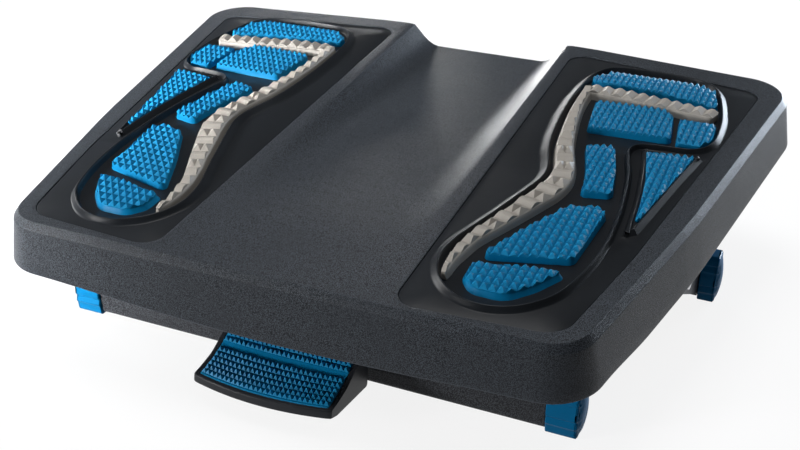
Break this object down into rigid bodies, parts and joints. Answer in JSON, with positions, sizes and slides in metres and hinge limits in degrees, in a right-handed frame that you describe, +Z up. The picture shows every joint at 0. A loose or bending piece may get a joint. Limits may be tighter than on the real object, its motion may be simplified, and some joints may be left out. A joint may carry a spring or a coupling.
{
  "type": "footrest",
  "caption": "Under-desk footrest with a tilting platform, studded blue massage pads and ribbed strips, a low two-leg stand and a foot pedal that frees the tilt.",
  "frame": {"origin": "bottom centre of the bounding box, on the floor under the middle of the footrest", "axes": "+X to the user's right, +Y away from the user towards the toe end, +Z up"},
  "size_m": [0.449, 0.3683, 0.1195],
  "materials": {
    "shell": "fine leather grain, matte",
    "panel": "smooth satin",
    "pad": "matte studded rubber",
    "strip": "satin, ribbed",
    "leg": "fine grain, satin",
    "cap": "satin rubber",
    "steel": "bright drawn steel",
    "shoe": "dull brake rubber"
  },
  "bodies": {
    "base": {"front_leg_frame": "leg", "rear_leg_frame": "leg", "foot_cap_front_left": "cap", "foot_cap_front_right": "cap", "foot_cap_rear_left": "cap", "foot_cap_rear_right": "cap", "tie_rod_left": "steel", "tie_rod_right": "steel", "pivot_axle": "steel", "axle_retainer_left": "steel", "axle_retainer_right": "steel", "pedal_bracket_left": "leg", "pedal_bracket_right": "leg", "pedal_pin": "steel", "pedal_spring": "steel"},
    "platform": {"platform_shell": "shell", "foot_panel_left": "panel", "foot_panel_right": "panel", "pad_heel_left": "pad", "pad_heel_right": "pad", "pad_arch_left": "pad", "pad_arch_right": "pad", "pad_instep_left": "pad", "pad_instep_right": "pad", "pad_ball_left": "pad", "pad_ball_right": "pad", "pad_side_ball_left": "pad", "pad_side_ball_right": "pad", "pad_toe_left": "pad", "pad_toe_right": "pad", "pad_wedge_left": "pad", "pad_wedge_right": "pad", "strip_left": "strip", "strip_right": "strip", "bearing_left": "leg", "bearing_right": "leg", "brake_sector": "steel"},
    "pedal": {"pedal_frame": "shell", "pedal_insert": "pad", "brake_shoe": "shoe"}
  },
  "joints": [
    {"name": "platform_tilt", "type": "hinge", "parent": "base", "child": "platform", "pos_m": [0, -0.0169, 0.052], "axis": [1, 0, 0], "range_deg": [-6, 6]},
    {"name": "pedal_press", "type": "hinge", "parent": "base", "child": "pedal", "pos_m": [0, -0.1059, 0.039], "axis": [1, 0, 0], "range_deg": [0, 6], "stiffness_Nm_per_rad": 0.6, "springref_deg": -14.32}
  ]
}
